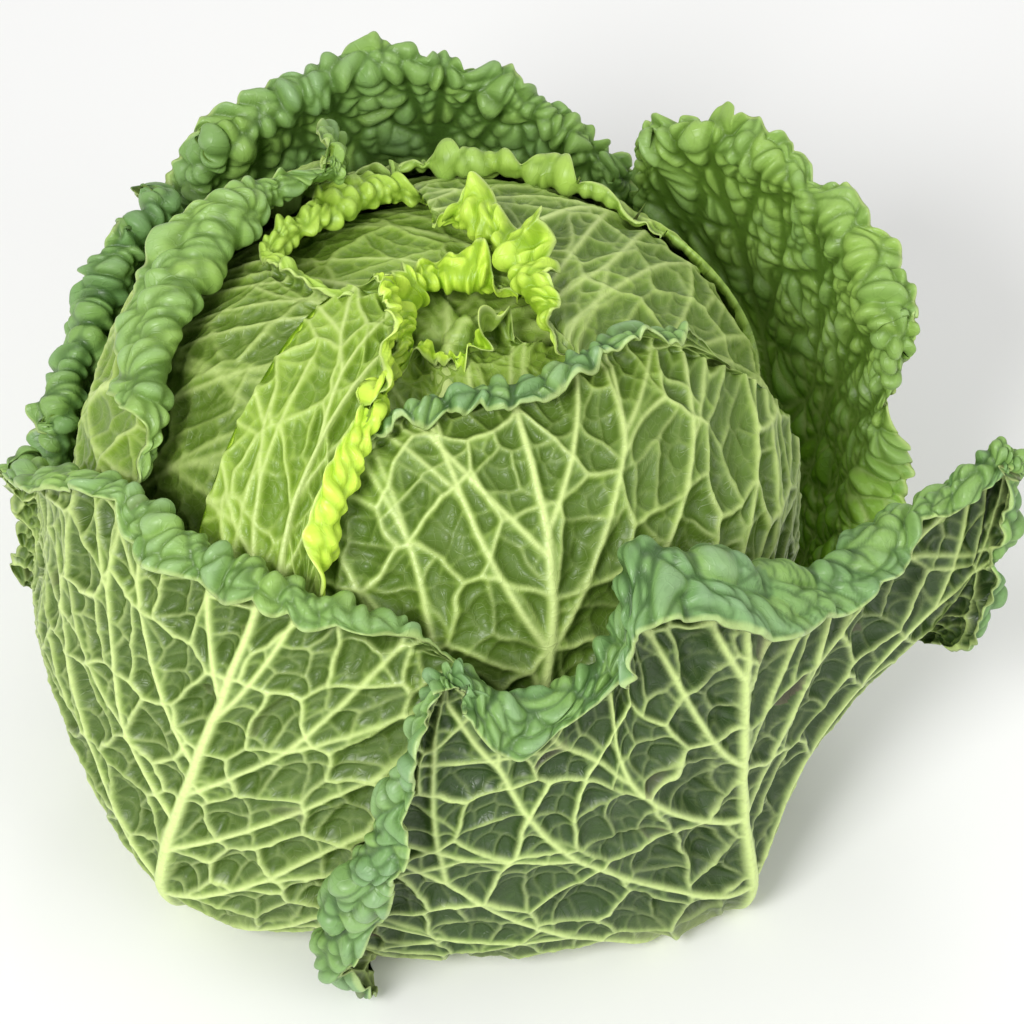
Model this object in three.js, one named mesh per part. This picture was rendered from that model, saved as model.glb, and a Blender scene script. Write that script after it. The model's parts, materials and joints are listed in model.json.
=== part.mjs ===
// Savoy cabbage: one whole head standing on its cut stem. Millimetres, +Z up, front towards -Y.
// Every leaf is a thin closed sheet laid round one egg-shaped head. A point of a leaf is given by
// its azimuth (degrees round the stem axis), its climb (degrees up the head, 0 at the stem and 180
// at the crown) and its stand-off (mm outwards from the nominal head surface).
import * as THREE from 'three';
import { mergeVertices } from 'three/addons/utils/BufferGeometryUtils.js';

// ---- driving dimensions ----
const HEAD_RADIUS = 106;        // half the width of the nominal head
const HEAD_TOP = 88;            // from the head's centre up to the crown
const HEAD_BOTTOM = 96;         // from the head's centre down to the stem end
const HEAD_CENTRE = 98;         // height of the head's centre above the table
const HEAD_SQUARENESS = 2.3;    // 2 is an ellipse, more is fuller at the shoulders
const LEAF_THICKNESS = 1.8;
const LAYER = 3.4;              // distance between one leaf layer and the next
const FLOOR_STEP = 3.0;         // the same distance where outer leaves lie flat under the head
const FLOOR_CLEARANCE = 1.3;    // lowest leaf's middle surface above the table
const FLOOR_SOFTNESS = 5;       // how gently a leaf turns from lying flat to standing
const BASE_CLIMB = 14;          // climb at which every leaf leaves the stem
const COLUMNS = 13;
const ROWS = 11;
const STEM_RADIUS = 16.5;
const STEM_COLLAR = 18.5;
const STEM_HEIGHT = 25;
const STEM_SIDES = 28;
const HEART_INSET = 26;         // how far the heart lies inside the nominal head surface
const HEART_LEVEL = 11;         // leaf layers lying flat under the heart
const HEART_STEPS = 16;
const HEART_SIDES = 32;

const rad = THREE.MathUtils.degToRad;

// Distance from the head's centre to its nominal surface at a climb angle.
function headRadius(climb) {
  const across = Math.abs(Math.sin(rad(climb))) / HEAD_RADIUS;
  const along = Math.abs(Math.cos(rad(climb))) / (climb < 90 ? HEAD_BOTTOM : HEAD_TOP);
  const n = HEAD_SQUARENESS;
  return (across ** n + along ** n) ** (-1 / n);
}

// A point at an azimuth, climb and stand-off; floor is the height the leaf rests on.
function place(azimuth, climb, standOff, floor) {
  const reach = headRadius(climb) + standOff;
  const radius = reach * Math.sin(rad(climb));
  const raw = HEAD_CENTRE - reach * Math.cos(rad(climb));
  const lift = (raw - floor) / FLOOR_SOFTNESS;
  const z = lift > 30 ? raw : floor + FLOOR_SOFTNESS * Math.log1p(Math.exp(lift));
  return new THREE.Vector3(radius * Math.cos(rad(azimuth)), radius * Math.sin(rad(azimuth)), z);
}

// Smooth curve through [azimuth, climb, stand-off] points, t from 0 to 1.
function curveAt(points, t) {
  const last = points.length - 1;
  const span = Math.min(Math.floor(t * last), last - 1);
  const x = t * last - span;
  const at = (i) => points[Math.min(Math.max(i, 0), last)];
  return points[0].map((_, k) => {
    const [a, b, c, d] = [at(span - 1)[k], at(span)[k], at(span + 1)[k], at(span + 2)[k]];
    return b + 0.5 * x * (c - a + x * (2 * a - 5 * b + 4 * c - d + x * (3 * (b - c) + d - a)));
  });
}

const mix = (a, b, t) => a.map((value, k) => value * (1 - t) + b[k] * t);

// Middle surface of a leaf, u across (0 to 1) and v from the stem to the tip (0 to 1): a patch
// stretched between its four edges, pushed out where the midrib folds.
function leafPoint(leaf, u, v) {
  const base = leaf.layer * LAYER;
  const start = mix([leaf.base[0], BASE_CLIMB, base], [leaf.base[1], BASE_CLIMB, base], u);
  const low = [[leaf.base[0], BASE_CLIMB, base], ...leaf.low, leaf.top[0]];
  const high = [[leaf.base[1], BASE_CLIMB, base], ...leaf.high, leaf.top.at(-1)];
  const end = curveAt(leaf.top, u);
  const sides = mix(curveAt(low, v), curveAt(high, v), u);
  const ends = mix(start, end, v);
  const corners = mix(mix(low[0], high[0], u), mix(low.at(-1), high.at(-1), u), v);
  const point = sides.map((value, k) => value + ends[k] - corners[k]);
  for (const [azimuth, climb, push, spread] of leaf.folds ?? []) {
    const away = ((point[0] - azimuth) / spread) ** 2 + ((point[1] - climb) / spread) ** 2;
    point[2] += push * Math.exp(-away);
  }
  return point;
}

// Closed sheet of one leaf.
function leafGeometry(leaf) {
  const middle = FLOOR_CLEARANCE + leaf.floor * FLOOR_STEP;
  const half = LEAF_THICKNESS / 2;
  const positions = [];
  for (const side of [1, -1]) {
    for (let row = 0; row <= ROWS; row += 1) {
      for (let column = 0; column <= COLUMNS; column += 1) {
        const [azimuth, climb, off] = leafPoint(leaf, column / COLUMNS, row / ROWS);
        positions.push(...place(azimuth, climb, off + side * half, middle - side * half).toArray());
      }
    }
  }
  const count = (ROWS + 1) * (COLUMNS + 1);
  const id = (side, row, column) => side * count + row * (COLUMNS + 1) + column;
  const index = [];
  const quad = (a, b, c, d) => index.push(a, b, c, a, c, d);
  for (let row = 0; row < ROWS; row += 1) {
    for (let column = 0; column < COLUMNS; column += 1) {
      const ring = [[row, column], [row, column + 1], [row + 1, column + 1], [row + 1, column]];
      quad(...ring.map(([r, c]) => id(0, r, c)));
      quad(...ring.reverse().map(([r, c]) => id(1, r, c)));
    }
  }
  for (let row = 0; row < ROWS; row += 1) {
    quad(id(0, row + 1, 0), id(1, row + 1, 0), id(1, row, 0), id(0, row, 0));
    quad(id(0, row, COLUMNS), id(1, row, COLUMNS), id(1, row + 1, COLUMNS), id(0, row + 1, COLUMNS));
  }
  for (let column = 0; column < COLUMNS; column += 1) {
    quad(id(0, 0, column), id(1, 0, column), id(1, 0, column + 1), id(0, 0, column + 1));
    quad(id(0, ROWS, column + 1), id(1, ROWS, column + 1), id(1, ROWS, column), id(0, ROWS, column));
  }
  const geometry = new THREE.BufferGeometry();
  geometry.setAttribute('position', new THREE.Float32BufferAttribute(positions, 3));
  geometry.setIndex(index);
  return geometry;
}

// Cut stem: flat face on the table, a collar where the lowest leaves join, tapering into the head.
function stemGeometry() {
  const profile = [[0, 0], [STEM_RADIUS - 1, 0], [STEM_RADIUS, 1], [STEM_COLLAR, 7],
    [STEM_COLLAR - 1.5, 14], [13.5, 21], [10, STEM_HEIGHT], [0, STEM_HEIGHT]];
  const points = profile.map(([radius, height]) => new THREE.Vector2(radius, height));
  const lathe = new THREE.LatheGeometry(points, STEM_SIDES).rotateX(Math.PI / 2);
  return closed(lathe);
}

// Heart: the tightly closed middle of the head, seen at the crown.
function heartGeometry() {
  const floor = FLOOR_CLEARANCE + HEART_LEVEL * FLOOR_STEP;
  const points = [];
  for (let step = 0; step <= HEART_STEPS; step += 1) {
    const point = place(0, (180 * step) / HEART_STEPS, -HEART_INSET, floor);
    points.push(new THREE.Vector2(point.x, point.z));
  }
  return closed(new THREE.LatheGeometry(points, HEART_SIDES).rotateX(Math.PI / 2));
}

function closed(geometry) {
  geometry.deleteAttribute('uv');
  geometry.deleteAttribute('normal');
  return mergeVertices(geometry, 1e-3);
}

// ---- the leaves, outermost first ----
// base: azimuths of the two sides where the leaf leaves the stem. low and high: the side margins
// from the stem upwards, at the smaller and the larger azimuth. top: the margin across the tip.
// folds: [azimuth, climb, push, spread] where the midrib folds and stands out.
const LEAVES = {
  leaf_outer_front_right: {
    layer: 5, floor: 0, base: [-78, -12],
    low: [[-103, 43, 28], [-106, 66, 17], [-97, 90, 11]],
    top: [[-89, 112, 11], [-78, 107, 10], [-66, 112, 9], [-58, 121, 9], [-34, 106, 13],
      [-17, 102, 27], [-8, 105, 50]],
    high: [[0, 46, 22], [-3, 67, 31], [-10, 86, 41]],
    folds: [[-45, 46, 24, 17], [-76, 42, 5, 16]],
    color: 0x6f8f4c,
  },
  leaf_outer_front_left: {
    layer: 4, floor: 1, base: [-172, -108],
    low: [[-182, 48, 25], [-182, 69, 20], [-178, 86, 12]],
    top: [[-177, 98, 12], [-152, 118, 8], [-129, 121, 5.5], [-108, 120, 5], [-84, 112, 5]],
    high: [[-98, 44, 17], [-90, 66, 9], [-86, 90, 6]],
    folds: [[-133, 47, 15, 22]],
    color: 0x9ab867,
  },
  leaf_outer_back: {
    layer: 4, floor: 1, base: [64, 132],
    low: [[54, 48, 21], [54, 70, 18], [59, 88, 18]],
    top: [[66, 102, 20], [73, 108, 21], [83, 116, 26], [99, 121, 29], [117, 117, 21], [130, 114, 20]],
    high: [[142, 48, 21], [144, 72, 18], [138, 98, 20]],
    color: 0x547a3f,
  },
  leaf_outer_right: {
    layer: 3, floor: 2, base: [-4, 56],
    low: [[-8, 48, 13], [2, 70, 14], [7, 86, 22]],
    top: [[7, 100, 24], [18, 110, 26], [32, 115, 28], [47, 118, 29], [57, 117, 22], [65, 105, 15]],
    high: [[60, 48, 14], [64, 68, 11], [68, 88, 11]],
    color: 0x55803a,
  },
  leaf_outer_left: {
    layer: 3, floor: 2, base: [130, 190],
    low: [[124, 48, 12], [122, 72, 9], [124, 96, 11]],
    top: [[134, 118, 15], [143, 121, 15], [154, 113, 8], [168, 106, 5], [182, 98, 4.5]],
    high: [[194, 48, 9], [192, 66, 5.5], [187, 84, 4.5]],
    color: 0x4f7a33,
  },
  leaf_head_left: {
    layer: 0, floor: 3, base: [140, 204],
    low: [[118, 44, 0], [108, 78, 0], [110, 112, 0]],
    top: [[126, 148, 0], [139, 142, 0], [163, 141, 0], [186, 135, 0], [203, 126, 0], [210, 112, 0]],
    high: [[214, 40, 0], [216, 66, 0], [213, 90, 0]],
    color: 0x9ab86a,
  },
  leaf_head_front_left: {
    layer: -1, floor: 4, base: [204, 246],
    low: [[208, 52, -3.4], [224, 104, -3.4], [214, 140, -3.4]],
    top: [[188, 162, -3.4], [204, 167, -3.4], [226, 165, -3.4], [240, 158, -3.4], [250, 146, -3.4]],
    high: [[256, 44, -3.4], [256, 78, -3.4], [248, 112, -3.4]],
    color: 0xb3cf62,
  },
  leaf_head_front: {
    layer: -2, floor: 5, base: [-110, -40],
    low: [[-134, 44, -6.8], [-142, 76, -6.8], [-136, 106, -6.8]],
    top: [[-122, 128, -6.8], [-102, 146, -6.8], [-82, 150, -6.8], [-60, 150, -6.8], [-34, 147, -6.8],
      [-14, 139, -6.8], [-4, 121, -6.8]],
    high: [[-26, 42, -6.8], [-8, 70, -6.8], [0, 96, -6.8]],
    color: 0x8bab5c,
  },
  leaf_head_back: {
    layer: -2, floor: 5, base: [58, 132],
    low: [[42, 44, -6.8], [26, 76, -6.8], [26, 104, -6.8]],
    top: [[40, 124, -6.8], [66, 132, -6.8], [96, 134, -6.8], [126, 131, -6.8], [150, 122, -6.8]],
    high: [[150, 44, -6.8], [164, 74, -6.8], [164, 100, -6.8]],
    color: 0x8fb05c,
  },
  leaf_head_upper_right: {
    layer: -3, floor: 6, base: [-8, 68],
    low: [[-26, 46, -11], [-42, 82, -11], [-44, 120, -11]],
    top: [[-30, 152, -11], [-12, 163, -11], [28, 166, -11], [66, 162, -11], [98, 154, -11]],
    high: [[84, 46, -11], [100, 82, -11], [104, 120, -11]],
    color: 0x9cbc5a,
  },
  leaf_head_upper_left: {
    layer: -4, floor: 7, base: [116, 196],
    low: [[98, 44, -14.4], [82, 78, -14.4], [78, 110, -14.4]],
    top: [[82, 136, -14.4], [104, 141, -14.4], [130, 144, -13], [158, 144, -9.5], [180, 153, -8.5],
      [200, 161, -11], [216, 164, -14.4]],
    high: [[214, 44, -14.4], [230, 76, -14.4], [234, 114, -14.4]],
    color: 0x93b64c,
  },
  leaf_inner_left: {
    layer: -5, floor: 8, base: [100, 168],
    low: [[80, 46, -17.8], [48, 88, -17.8], [28, 132, -17.8]],
    top: [[18, 164, -17.8], [60, 171, -17.8], [120, 172, -17.8], [180, 172, -17.8], [226, 168, -17.8],
      [242, 152, -17.8]],
    high: [[186, 46, -17.8], [216, 84, -17.8], [240, 120, -17.8]],
    color: 0xb5cf66,
  },
  leaf_inner_front: {
    layer: -6, floor: 9, base: [-112, -42],
    low: [[-124, 46, -21.4], [-146, 84, -21.4], [-152, 122, -21.4]],
    top: [[-146, 154, -21.4], [-124, 163, -21.4], [-84, 166, -21.4], [-46, 166, -21.4],
      [-18, 158, -21.4]],
    high: [[-30, 46, -21.4], [-8, 84, -21.4], [-4, 122, -21.4]],
    color: 0xbfd76a,
  },
};

const group = new THREE.Group();
group.name = 'savoy_cabbage';

function add(name, geometry, color) {
  const mesh = new THREE.Mesh(geometry, new THREE.MeshStandardMaterial({ color, roughness: 0.55 }));
  mesh.name = name;
  group.add(mesh);
}

add('stem', stemGeometry(), 0xd9dfb4);
add('heart', heartGeometry(), 0xb9d070);
for (const [name, leaf] of Object.entries(LEAVES)) {
  add(name, leafGeometry(leaf), leaf.color);
}

// The stem's cut face stays on z = 0 and the whole head is centred over the origin.
const box = new THREE.Box3().setFromObject(group);
const middle = box.getCenter(new THREE.Vector3());
for (const mesh of group.children) {
  mesh.geometry.translate(-middle.x, -middle.y, 0);
}

export default group;
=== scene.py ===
"""Savoy cabbage: crinkled, veined leaves grown over the fixed CAD leaves.

Every leaf is one thin closed sheet, laid on the same shell as its CAD solid: a point of a leaf is an
azimuth (degrees round the stem), a climb (degrees up the head, 0 at the stem, 180 at the crown) and a
stand-off (mm outwards from the nominal head). Relief is real geometry: ribs and veins hold the sheet
down and the blade between them puffs up like a membrane. All lengths are millimetres until a mesh is made.
"""
import json
import math

import bpy
import numpy as np
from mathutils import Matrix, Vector

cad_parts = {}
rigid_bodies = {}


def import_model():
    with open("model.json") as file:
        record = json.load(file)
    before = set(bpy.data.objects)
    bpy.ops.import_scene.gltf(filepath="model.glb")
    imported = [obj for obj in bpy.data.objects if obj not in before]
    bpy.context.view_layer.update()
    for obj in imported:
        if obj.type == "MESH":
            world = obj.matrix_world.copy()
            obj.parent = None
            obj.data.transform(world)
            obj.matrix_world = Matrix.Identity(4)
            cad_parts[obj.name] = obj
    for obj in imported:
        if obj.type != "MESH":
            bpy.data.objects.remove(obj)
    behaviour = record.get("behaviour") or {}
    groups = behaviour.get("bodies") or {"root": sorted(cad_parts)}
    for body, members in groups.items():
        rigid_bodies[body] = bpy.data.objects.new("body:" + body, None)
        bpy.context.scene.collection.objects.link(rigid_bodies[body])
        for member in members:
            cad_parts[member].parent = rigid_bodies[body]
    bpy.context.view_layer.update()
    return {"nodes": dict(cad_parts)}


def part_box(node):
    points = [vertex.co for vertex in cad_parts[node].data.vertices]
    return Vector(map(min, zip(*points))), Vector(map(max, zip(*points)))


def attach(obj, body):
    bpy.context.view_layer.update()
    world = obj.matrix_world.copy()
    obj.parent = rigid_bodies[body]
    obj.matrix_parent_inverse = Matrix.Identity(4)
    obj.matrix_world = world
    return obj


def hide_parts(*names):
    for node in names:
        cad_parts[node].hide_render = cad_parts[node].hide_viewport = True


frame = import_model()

MM = 0.001

# ---- the head, as in the CAD model ----
HEAD_RADIUS = 106.0              # half the width of the nominal head
HEAD_TOP = 88.0                  # from the head's centre up to the crown
HEAD_BOTTOM = 96.0               # from the head's centre down to the stem end
HEAD_CENTRE = 98.0               # height of the head's centre above the table
HEAD_SQUARENESS = 2.3            # 2 is an ellipse, more is fuller at the shoulders
LAYER = 3.4                      # distance between one leaf layer and the next
FLOOR_STEP = 3.0                 # the same distance where outer leaves lie flat under the head
FLOOR_CLEARANCE = 1.3            # lowest leaf's middle surface above the table
FLOOR_SOFTNESS = 5.0             # how gently a leaf turns from lying flat to standing
BASE_CLIMB = 14.0                # climb at which every leaf leaves the stem

# The outlines of the CAD leaves. layer: leaf layer at the stem. floor: which layer it is where leaves
# lie flat. base: azimuths of the two sides at the stem. low, high: side margins, upwards. top: margin at
# the tip, from the low side to the high side. Each point is (azimuth, climb, stand-off).
# folds: (azimuth, climb, push, spread) where the leaf folds and stands out.
LEAVES = {
    "leaf_outer_front_right": dict(
        layer=5, floor=0, base=(-78, -12),
        low=[(-103, 43, 28), (-106, 66, 17), (-97, 90, 11)],
        top=[(-89, 112, 11), (-78, 107, 10), (-66, 112, 9), (-58, 121, 9), (-34, 106, 13), (-17, 102, 27),
             (-8, 105, 50)],
        high=[(0, 46, 22), (-3, 67, 31), (-10, 86, 41)],
        folds=[(-45, 46, 24, 17), (-76, 42, 5, 16)]),
    "leaf_outer_front_left": dict(
        layer=4, floor=1, base=(-172, -108),
        low=[(-182, 48, 25), (-182, 69, 20), (-178, 86, 12)],
        top=[(-177, 98, 12), (-152, 118, 8), (-129, 121, 5.5), (-108, 120, 5), (-84, 112, 5)],
        high=[(-98, 44, 17), (-90, 66, 9), (-86, 90, 6)],
        folds=[(-133, 47, 15, 22)]),
    "leaf_outer_back": dict(
        layer=4, floor=1, base=(64, 132),
        low=[(54, 48, 21), (54, 70, 18), (59, 88, 18)],
        top=[(66, 102, 20), (73, 108, 21), (83, 116, 26), (99, 121, 29), (117, 117, 21), (130, 114, 20)],
        high=[(142, 48, 21), (144, 72, 18), (138, 98, 20)]),
    "leaf_outer_right": dict(
        layer=3, floor=2, base=(-4, 56),
        low=[(-8, 48, 13), (2, 70, 14), (7, 86, 22)],
        top=[(7, 100, 24), (18, 110, 26), (32, 115, 28), (47, 118, 29), (57, 117, 22), (65, 105, 15)],
        high=[(60, 48, 14), (64, 68, 11), (68, 88, 11)]),
    "leaf_outer_left": dict(
        layer=3, floor=2, base=(130, 190),
        low=[(124, 48, 12), (122, 72, 9), (124, 96, 11)],
        top=[(134, 118, 15), (143, 121, 15), (154, 113, 8), (168, 106, 5), (182, 98, 4.5)],
        high=[(194, 48, 9), (192, 66, 5.5), (187, 84, 4.5)]),
    "leaf_head_left": dict(
        layer=0, floor=3, base=(140, 204),
        low=[(118, 44, 0), (108, 78, 0), (110, 112, 0)],
        top=[(126, 148, 0), (139, 142, 0), (163, 141, 0), (186, 135, 0), (203, 126, 0), (210, 112, 0)],
        high=[(214, 40, 0), (216, 66, 0), (213, 90, 0)]),
    "leaf_head_front_left": dict(
        layer=-1, floor=4, base=(204, 246),
        low=[(208, 52, -3.4), (224, 104, -3.4), (214, 140, -3.4)],
        top=[(188, 162, -3.4), (204, 167, -3.4), (226, 165, -3.4), (240, 158, -3.4), (250, 146, -3.4)],
        high=[(256, 44, -3.4), (256, 78, -3.4), (248, 112, -3.4)]),
    "leaf_head_front": dict(
        layer=-2, floor=5, base=(-110, -40),
        low=[(-134, 44, -6.8), (-142, 76, -6.8), (-136, 106, -6.8)],
        top=[(-122, 128, -6.8), (-102, 146, -6.8), (-82, 150, -6.8), (-60, 150, -6.8), (-34, 147, -6.8),
             (-14, 139, -6.8), (-4, 121, -6.8)],
        high=[(-26, 42, -6.8), (-8, 70, -6.8), (0, 96, -6.8)]),
    "leaf_head_back": dict(
        layer=-2, floor=5, base=(58, 132),
        low=[(42, 44, -6.8), (26, 76, -6.8), (26, 104, -6.8)],
        top=[(40, 124, -6.8), (66, 132, -6.8), (96, 134, -6.8), (126, 131, -6.8), (150, 122, -6.8)],
        high=[(150, 44, -6.8), (164, 74, -6.8), (164, 100, -6.8)]),
    "leaf_head_upper_right": dict(
        layer=-3, floor=6, base=(-8, 68),
        low=[(-26, 46, -11), (-42, 82, -11), (-44, 120, -11)],
        top=[(-30, 152, -11), (-12, 163, -11), (28, 166, -11), (66, 162, -11), (98, 154, -11)],
        high=[(84, 46, -11), (100, 82, -11), (104, 120, -11)]),
    "leaf_head_upper_left": dict(
        layer=-4, floor=7, base=(116, 196),
        low=[(98, 44, -14.4), (82, 78, -14.4), (78, 110, -14.4)],
        top=[(82, 136, -14.4), (104, 141, -14.4), (130, 144, -13), (158, 144, -9.5), (180, 153, -8.5),
             (200, 161, -11), (216, 164, -14.4)],
        high=[(214, 44, -14.4), (230, 76, -14.4), (234, 114, -14.4)]),
    "leaf_inner_left": dict(
        layer=-5, floor=8, base=(100, 168),
        low=[(80, 46, -17.8), (48, 88, -17.8), (28, 132, -17.8)],
        top=[(18, 164, -17.8), (60, 171, -17.8), (120, 172, -17.8), (180, 172, -17.8), (226, 168, -17.8),
             (242, 152, -17.8)],
        high=[(186, 46, -17.8), (216, 84, -17.8), (240, 120, -17.8)]),
    "leaf_inner_front": dict(
        layer=-6, floor=9, base=(-112, -42),
        low=[(-124, 46, -21.4), (-146, 84, -21.4), (-152, 122, -21.4)],
        top=[(-146, 154, -21.4), (-124, 163, -21.4), (-84, 166, -21.4), (-46, 166, -21.4),
             (-18, 158, -21.4)],
        high=[(-30, 46, -21.4), (-8, 84, -21.4), (-4, 122, -21.4)]),
}

# How each leaf is finished. step: spacing of its mesh. collar: width of the margin band that rolls over.
# sides: how much of it the low side, the tip and the high side have. start: how far up it begins, on the
# low and the high side. bend, roll: radius and angle (degrees) of the roll; the rest of the band hangs
# straight. inset: how far inside the outline the roll starts. ruffle, pleat: height of its waves and of
# its short folds. puff: height of the large and the small blisters. net: sizes of the vein meshes.
# rib: where the midrib leaves the stem and meets the margin, across. spread: angles of the lowest and
# the highest side ribs. thick: of the ribs. tone, inner_tone: 0 pale to 1 dark, outside and inside.
# vein: how pale the veins are. glow: how strongly painted light, shining through, colours the foot of the
# inner face.
LOOKS = {
    "leaf_outer_front_right": dict(
        slot="leaf_outer", step=0.55, collar=27, sides=(0.72, 1.0, 1.12), start=(0.15, 0.45), bend=4.0,
        roll=165, inset=5, ruffle=1.1, pleat=0.3, puff=(3.8, 1.1), net=(25, 12.5, 6.2),
        rib=(0.62, 0.60), spread=(88, 34), thick=1.15, tone=1.0, inner_tone=1.0, vein=1.0, glow=0.0,
        seed=11),
    "leaf_outer_front_left": dict(
        slot="leaf_outer", step=0.58, collar=17, sides=(0.5, 1.0, 0.0), start=(0.4, 0.3), bend=3.2,
        roll=160, inset=10, ruffle=1.2, pleat=0.4, puff=(3.6, 1.1), net=(20, 10, 5.2), rib=(0.52, 0.63),
        spread=(78, 30), thick=1.05, tone=0.78, inner_tone=0.9, vein=1.0, glow=0.0, seed=22),
    "leaf_outer_back": dict(
        slot="leaf_outer", step=0.64, collar=15, sides=(0.8, 1.0, 0.8), start=(0.25, 0.25), bend=4.0,
        roll=125, inset=27, ruffle=0.9, pleat=0.0, puff=(2.0, 2.1), net=(22, 11, 6.5), rib=(0.5, 0.5),
        spread=(60, 30), thick=0.8, tone=0.6, inner_tone=0.9, vein=0.7, glow=0.7, seed=33),
    "leaf_outer_right": dict(
        slot="leaf_outer", step=0.6, collar=16, sides=(0.7, 1.0, 0.6), start=(0.25, 0.25), bend=5.0,
        roll=115, inset=24, ruffle=0.9, pleat=0.0, puff=(1.8, 2.0), net=(22, 11, 6.2), rib=(0.25, 0.75),
        spread=(60, 30), thick=0.8, tone=0.5, inner_tone=0.8, vein=0.7, glow=1.0, seed=44),
    "leaf_outer_left": dict(
        slot="leaf_outer", step=0.64, collar=15, sides=(0.8, 1.0, 0.8), start=(0.25, 0.25), bend=2.8,
        roll=165, inset=27, ruffle=0.9, pleat=0.0, puff=(1.8, 1.9), net=(20, 10, 6.2), rib=(0.5, 0.5),
        spread=(60, 30), thick=0.8, tone=0.5, inner_tone=1.0, vein=0.7, glow=1.0, seed=55),
    "leaf_head_left": dict(
        slot="leaf_head", step=0.64, collar=22, sides=(0.5, 1.0, 0.2), start=(0.3, 0.3), bend=3.8,
        roll=175, inset=5, ruffle=0.8, pleat=0.4, puff=(1.8, 1.1), net=(20, 10, 5.5), rib=(0.5, 0.4),
        spread=(60, 30), thick=0.8, tone=0.35, inner_tone=0.85, vein=0.75, glow=0.0, seed=66),
    "leaf_head_front_left": dict(
        slot="leaf_head", step=0.6, collar=18, sides=(0.0, 0.5, 1.0), start=(0.68, 0.68), bend=3.0,
        roll=165, inset=3, ruffle=1.1, pleat=1.3, puff=(2.2, 1.0), net=(22, 11, 5.5), rib=(0.06, 0.8),
        spread=(50, 28), thick=1.3, tone=0.3, inner_tone=0.0, vein=0.5, glow=0.0, seed=77),
    "leaf_head_front": dict(
        slot="leaf_head", step=0.56, collar=18, sides=(0.0, 1.0, 0.0), start=(0.4, 0.4), bend=3.3,
        roll=168, inset=3, ruffle=1.2, pleat=0.4, puff=(3.0, 1.1), net=(23, 11.5, 5.8), rib=(0.5, 0.45),
        spread=(60, 30), thick=0.9, tone=0.68, inner_tone=1.0, vein=0.8, glow=0.0, seed=88),
    "leaf_head_back": dict(
        slot="leaf_head", step=0.9, collar=7, sides=(0.0, 0.8, 0.0), start=(0.4, 0.4), bend=1.5,
        roll=150, inset=1, ruffle=0.4, pleat=0.0, puff=(1.8, 1.0), net=(22, 11, 5.5), rib=(0.5, 0.5),
        spread=(60, 30), thick=0.8, tone=0.4, inner_tone=0.6, vein=0.6, glow=0.0, seed=99),
    "leaf_head_upper_right": dict(
        slot="leaf_head", step=0.62, collar=18, sides=(0.0, 1.0, 0.0), start=(0.5, 0.5), bend=2.8,
        roll=165, inset=3, ruffle=1.2, pleat=1.2, puff=(2.4, 1.0), net=(20, 10, 5.0), rib=(0.5, 0.7),
        spread=(55, 28), thick=0.9, tone=0.6, inner_tone=0.15, vein=0.55, glow=0.0, seed=110),
    "leaf_head_upper_left": dict(
        slot="leaf_head", step=0.62, collar=19, sides=(0.0, 1.0, 0.0), start=(0.4, 0.4), bend=3.2,
        roll=172, inset=3, ruffle=0.8, pleat=0.9, puff=(1.8, 1.0), net=(22, 11, 4.6), rib=(0.5, 0.5),
        spread=(55, 28), thick=0.8, tone=0.6, inner_tone=0.4, vein=0.5, glow=0.0, seed=121),
    "leaf_inner_left": dict(
        slot="leaf_inner", step=0.6, collar=15, sides=(0.0, 1.0, 0.0), start=(0.5, 0.5), bend=2.2,
        roll=165, inset=2, ruffle=1.2, pleat=1.3, puff=(1.2, 0.6), net=(24, 12, 4.4), rib=(0.5, 0.5),
        spread=(55, 28), thick=0.8, tone=0.45, inner_tone=0.0, vein=0.35, glow=0.0, seed=132),
    "leaf_inner_front": dict(
        slot="leaf_inner", step=0.6, collar=14, sides=(0.0, 1.0, 0.0), start=(0.5, 0.5), bend=2.4,
        roll=150, inset=2, ruffle=1.7, pleat=1.3, puff=(1.3, 0.7), net=(20, 10, 4.4), rib=(0.5, 0.5),
        spread=(55, 28), thick=0.8, tone=0.4, inner_tone=0.0, vein=0.35, glow=0.0, seed=143),
}

# ---- how a leaf grows ----
PROBE = 120                      # samples each way when a sheet is measured
SHEET = 0.55                     # thickness of the blade
TABLE_GAP = 0.15                 # lowest that any leaf reaches above the table
ALONG_SCALE = 90.0               # mm of margin to a radian round the leaf's middle
SCALLOP = 3.0                    # depth of the notches between the margin's lobes
LOBE = 13.0                      # length of one lobe along the margin
BORDER_WAVE = (11, 4.0, 10)      # length, height and reach inwards of the long waves of the margin
EDGE_WAVE = (5.5, 2.4, 4.5)      # the same for the short waves at its very edge
PLEAT_LENGTH = 3.2
SWELL_LENGTH, SWELL_HEIGHT = 34, 1.2
SIDE_RIBS = 6                    # to each side of a midrib
RIB_POINTS = 40                  # points along a midrib
FIRST_RIB, RIB_RANGE = 0.18, 0.68  # where side ribs leave the midrib, as shares of its length
BRANCH_STEP = 3.0                # length of one piece of a side rib
RIB_REACH = 12.0                 # how far from a rib its nearness is worked out
NET_WARP = ((13, 2.4), (5, 0.8))  # length and depth of the waves that bend the vein net
# For bold, medium and fine veins: distance at which a vein starts, distance at which it is full, amount.
NET_PALE = ((0.70, 0.20, 0.9), (0.50, 0.10, 0.52), (0.42, 0.05, 0.18))
NET_RAISED = ((1.7, 0.2, 0.55), (1.3, 0.1, 0.3), (0.9, 0.05, 0.12))
BLOW = 0.02                      # how hard the blade is blown up between its veins
LARGE_ROUNDS, SMALL_ROUNDS = 170, 60  # steps in which large and small blisters rise
RIM_PUFF = 2.2                   # how much higher the blisters of the margin are
FACE_SHIFT = 40                  # keeps the inner face's patches unlike the outer face's


# ---- the shell that all leaves lie on ----

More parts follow.
